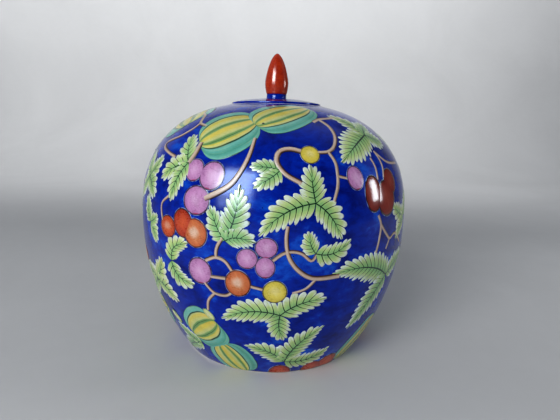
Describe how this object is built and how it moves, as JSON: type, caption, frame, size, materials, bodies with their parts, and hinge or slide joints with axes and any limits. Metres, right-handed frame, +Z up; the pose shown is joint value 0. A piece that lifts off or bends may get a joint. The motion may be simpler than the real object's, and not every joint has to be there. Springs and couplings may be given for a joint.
{
  "type": "ginger jar",
  "caption": "Round-bellied lidded storage jar of glazed ceramic with a flat base ring and a low domed lift-off lid topped by a bud-shaped finial.",
  "frame": {"origin": "centre of the foot ring, on the surface the jar stands on", "axes": "+Z up along the jar's axis; the pictured side faces -Y; +X to the right of that side"},
  "size_m": [0.205, 0.205, 0.2264],
  "materials": {
    "cobalt_glaze": "gloss cobalt blue glaze with brushed lighter streaks",
    "bare_porcelain": "unglazed, fine matt, off-white",
    "red_enamel": "gloss iron-red overglaze enamel",
    "painted_enamel": "gloss overglaze enamels in slight relief: leaf green, cream, pink, orange, yellow",
    "clear_glaze_inside": "gloss pale celadon-white glaze on the inner wall"
  },
  "bodies": {
    "jar": {"jar_body": "cobalt_glaze"},
    "lid": {"lid_cap": "cobalt_glaze", "lid_flange": "bare_porcelain", "finial_bud": "red_enamel"}
  },
  "joints": [
    {"name": "lid_lift", "type": "slide", "parent": "jar", "child": "lid", "axis": [0, 0, 1], "range_m": [0, 0.1]}
  ]
}
